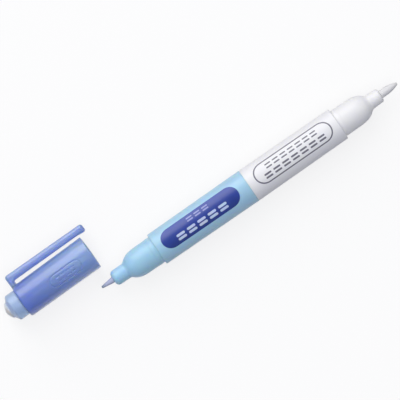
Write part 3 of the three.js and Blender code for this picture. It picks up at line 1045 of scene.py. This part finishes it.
def innerMaterial(look):
    # Moulded polypropylene looks plain and satin. The fibre rods are matt bundles with streaks along X,
    # which a stretch below one draws out, coarser than real. The rolled film round them is clear and glossy.
    material, tree = newMaterial(look["material"])
    place = addNode(tree, "ShaderNodeTexCoord").outputs["Object"]
    drawn = (look["stretch"], 1.0, 1.0)
    place = addNode(tree, "ShaderNodeMapping", {"Vector": place, "Scale": drawn}).outputs[0]
    grain = addNode(tree, "ShaderNodeTexNoise", {
        "Vector": place, "Scale": perMillimetre(look["grainSize"]), "Detail": innerGrain["detail"],
    }).outputs["Fac"]
    body = addNode(tree, "ShaderNodeMix", {
        "Factor": grain, 6: linearColour(look["colour"]), 7: linearColour(look["otherColour"]),
    }, data_type="RGBA").outputs[2]
    bump = addNode(tree, "ShaderNodeBump", {
        "Strength": innerGrain["strength"], "Distance": innerGrain["depth"] * mm, "Height": grain,
    }).outputs[0]
    surface = addNode(tree, "ShaderNodeBsdfPrincipled", {
        "Base Color": body, "Roughness": look["roughness"], "Normal": bump, "IOR": innerGrain["ior"],
        "Transmission Weight": look["clearness"],
    }).outputs[0]
    return finishMaterial(material, tree, surface)


for name, look in innerLooks.items():
    node = frame["nodes"][name]
    node.data.materials.clear()
    node.data.materials.append(innerMaterial(look))
print("inner pieces given their materials")


# Stage, light and camera

stageLook = {
    "floorHalfMetres": 3.0,
    "floorColour": "#fdfdfd",
    "otherColour": "#8a8a8e",
    "floorGlow": 0.8,
    "toothSize": 0.5,
    "toothDetail": 2.0,
    "toothStrength": 0.05,
    "toothDepth": 0.05,
    "worldLight": 0.33,
    "worldColour": "#e2e8ff",
    "seenLight": 1.0,
    "seenColour": "#ffffff",
}

# The key lamp stands on the cap's side. The fill hangs straight above and is left out of the gloss, as a
# light tent's roof with the camera's opening is. Their sizes and distance are metres.
lightSizes = {
    "key": {"tiltDegrees": 55, "acrossSize": 1.5, "watts": 16.5, "inGloss": True},
    "fill": {"tiltDegrees": 0, "acrossSize": 1.85, "watts": 12.5, "inGloss": False},
    "distance": 1.6,
    "alongSize": 1.0,
    "colour": "#fffdfa",
}

# The photograph looks straight down on the pen, whose axis is turned by penTurnDegrees. The picture is
# sidePixels wide and high, each pixel is millimetresPerPixel wide, and the nib's tip is at nibTipPixel.
shot = {
    "sidePixels": 400,
    "millimetresPerPixel": 0.32,
    "penTurnDegrees": 34.71,
    "nibTipPixel": (101.9, 287.5),
    "lens": 400,
    "sensor": 36,
    "nearMetres": 0.01,
    "farMetres": 10,
}


def makeFloor():
    # White pressed paper with a faint tooth. The camera sees it partly glow, so the object's shadow on it
    # is faint, and other light finds it grey, so little of it comes back from below.
    half = stageLook["floorHalfMetres"]
    corners = [(-half, -half, 0), (half, -half, 0), (half, half, 0), (-half, half, 0)]
    mesh = bpy.data.meshes.new("floor")
    mesh.from_pydata(corners, [], [(0, 1, 2, 3)])
    floor = bpy.data.objects.new("floor", mesh)
    bpy.context.scene.collection.objects.link(floor)
    material, tree = newMaterial("whitePaper")
    path = addNode(tree, "ShaderNodeLightPath").outputs
    seen = path["Is Camera Ray"]
    for ray in ("Is Glossy Ray", "Is Transmission Ray"):
        seen = addNode(tree, "ShaderNodeMath", {0: seen, 1: path[ray]}, operation="MAXIMUM").outputs[0]
    place = addNode(tree, "ShaderNodeTexCoord").outputs["Object"]
    tooth = addNode(tree, "ShaderNodeTexNoise", {
        "Vector": place, "Scale": perMillimetre(stageLook["toothSize"]), "Detail": stageLook["toothDetail"],
    }).outputs["Fac"]
    bump = addNode(tree, "ShaderNodeBump", {
        "Strength": stageLook["toothStrength"], "Distance": stageLook["toothDepth"] * mm, "Height": tooth,
    }).outputs[0]
    white = linearColour(stageLook["floorColour"])
    glowing = stageLook["floorGlow"]
    colour = addNode(tree, "ShaderNodeMix", {
        "Factor": seen, 6: linearColour(stageLook["otherColour"]), 7: white,
    }, data_type="RGBA").outputs[2]
    paper = addNode(tree, "ShaderNodeBsdfDiffuse", {"Color": colour, "Normal": bump}).outputs[0]
    glow = addNode(tree, "ShaderNodeEmission", {"Color": white}).outputs[0]
    share = addNode(tree, "ShaderNodeMath", {0: seen, 1: glowing}, operation="MULTIPLY").outputs[0]
    surface = addNode(tree, "ShaderNodeMixShader", {0: share, 1: paper, 2: glow}).outputs[0]
    mesh.materials.append(finishMaterial(material, tree, surface))


def makeWorld():
    # A pale sky lights the object, and the camera and clear plastic see plain white.
    world = bpy.data.worlds.new("studio")
    world.use_nodes = True
    tree = world.node_tree
    tree.nodes.clear()
    path = addNode(tree, "ShaderNodeLightPath").outputs
    seen = addNode(tree, "ShaderNodeMath", {
        0: path["Is Camera Ray"], 1: path["Is Transmission Ray"],
    }, operation="MAXIMUM").outputs[0]
    strength = addNode(tree, "ShaderNodeMix", {
        "Factor": seen, 2: stageLook["worldLight"], 3: stageLook["seenLight"],
    }).outputs[0]
    colour = addNode(tree, "ShaderNodeMix", {
        "Factor": seen, 6: linearColour(stageLook["worldColour"]), 7: linearColour(stageLook["seenColour"]),
    }, data_type="RGBA").outputs[2]
    sky = addNode(tree, "ShaderNodeBackground", {"Color": colour, "Strength": strength}).outputs[0]
    addNode(tree, "ShaderNodeOutputWorld", {"Surface": sky})
    bpy.context.scene.world = world


def pictureAxes():
    # Directions in the frame of the picture's right and up, with the pen's axis along +X.
    turn = math.radians(shot["penTurnDegrees"])
    return Vector((math.cos(turn), -math.sin(turn), 0)), Vector((math.sin(turn), math.cos(turn), 0))


def makeCamera():
    # Straight above the middle of the picture, which lies as far from the nib's tip as in the photograph.
    right, up = pictureAxes()
    step = shot["millimetresPerPixel"] * mm
    tip = Vector((markingTip, penAxisY, penAxisZ))
    fromTip = [shot["sidePixels"] / 2 - place for place in shot["nibTipPixel"]]
    middle = tip + (right * fromTip[0] - up * fromTip[1]) * step
    distance = shot["sidePixels"] * step * shot["lens"] / shot["sensor"]
    data = bpy.data.cameras.new("camera")
    data.lens = shot["lens"]
    data.sensor_width = shot["sensor"]
    data.clip_start = shot["nearMetres"]
    data.clip_end = shot["farMetres"]
    camera = bpy.data.objects.new("camera", data)
    camera.location = middle + Vector((0, 0, distance))
    camera.rotation_euler = (0, 0, -math.radians(shot["penTurnDegrees"]))
    bpy.context.scene.collection.objects.link(camera)
    bpy.context.scene.camera = camera


def makeLight(name):
    # A large soft light, tilted from straight above and facing the middle of the object.
    sizes = lightSizes[name]
    tilt = math.radians(sizes["tiltDegrees"])
    data = bpy.data.lights.new(name + "Light", "AREA")
    data.shape = "RECTANGLE"
    data.size = lightSizes["alongSize"]
    data.size_y = sizes["acrossSize"]
    data.energy = sizes["watts"]
    data.color = linearColour(lightSizes["colour"])[:3]
    lamp = bpy.data.objects.new(name + "Light", data)
    lamp.rotation_euler = (-tilt, 0, 0)
    lamp.location = Vector((0, math.sin(tilt), math.cos(tilt))) * lightSizes["distance"]
    lamp.visible_glossy = sizes["inGloss"]
    bpy.context.scene.collection.objects.link(lamp)


makeFloor()
makeWorld()
makeCamera()
makeLight("key")
makeLight("fill")
bpy.context.scene.view_settings.view_transform = "Standard"
print("stage, light and camera made")
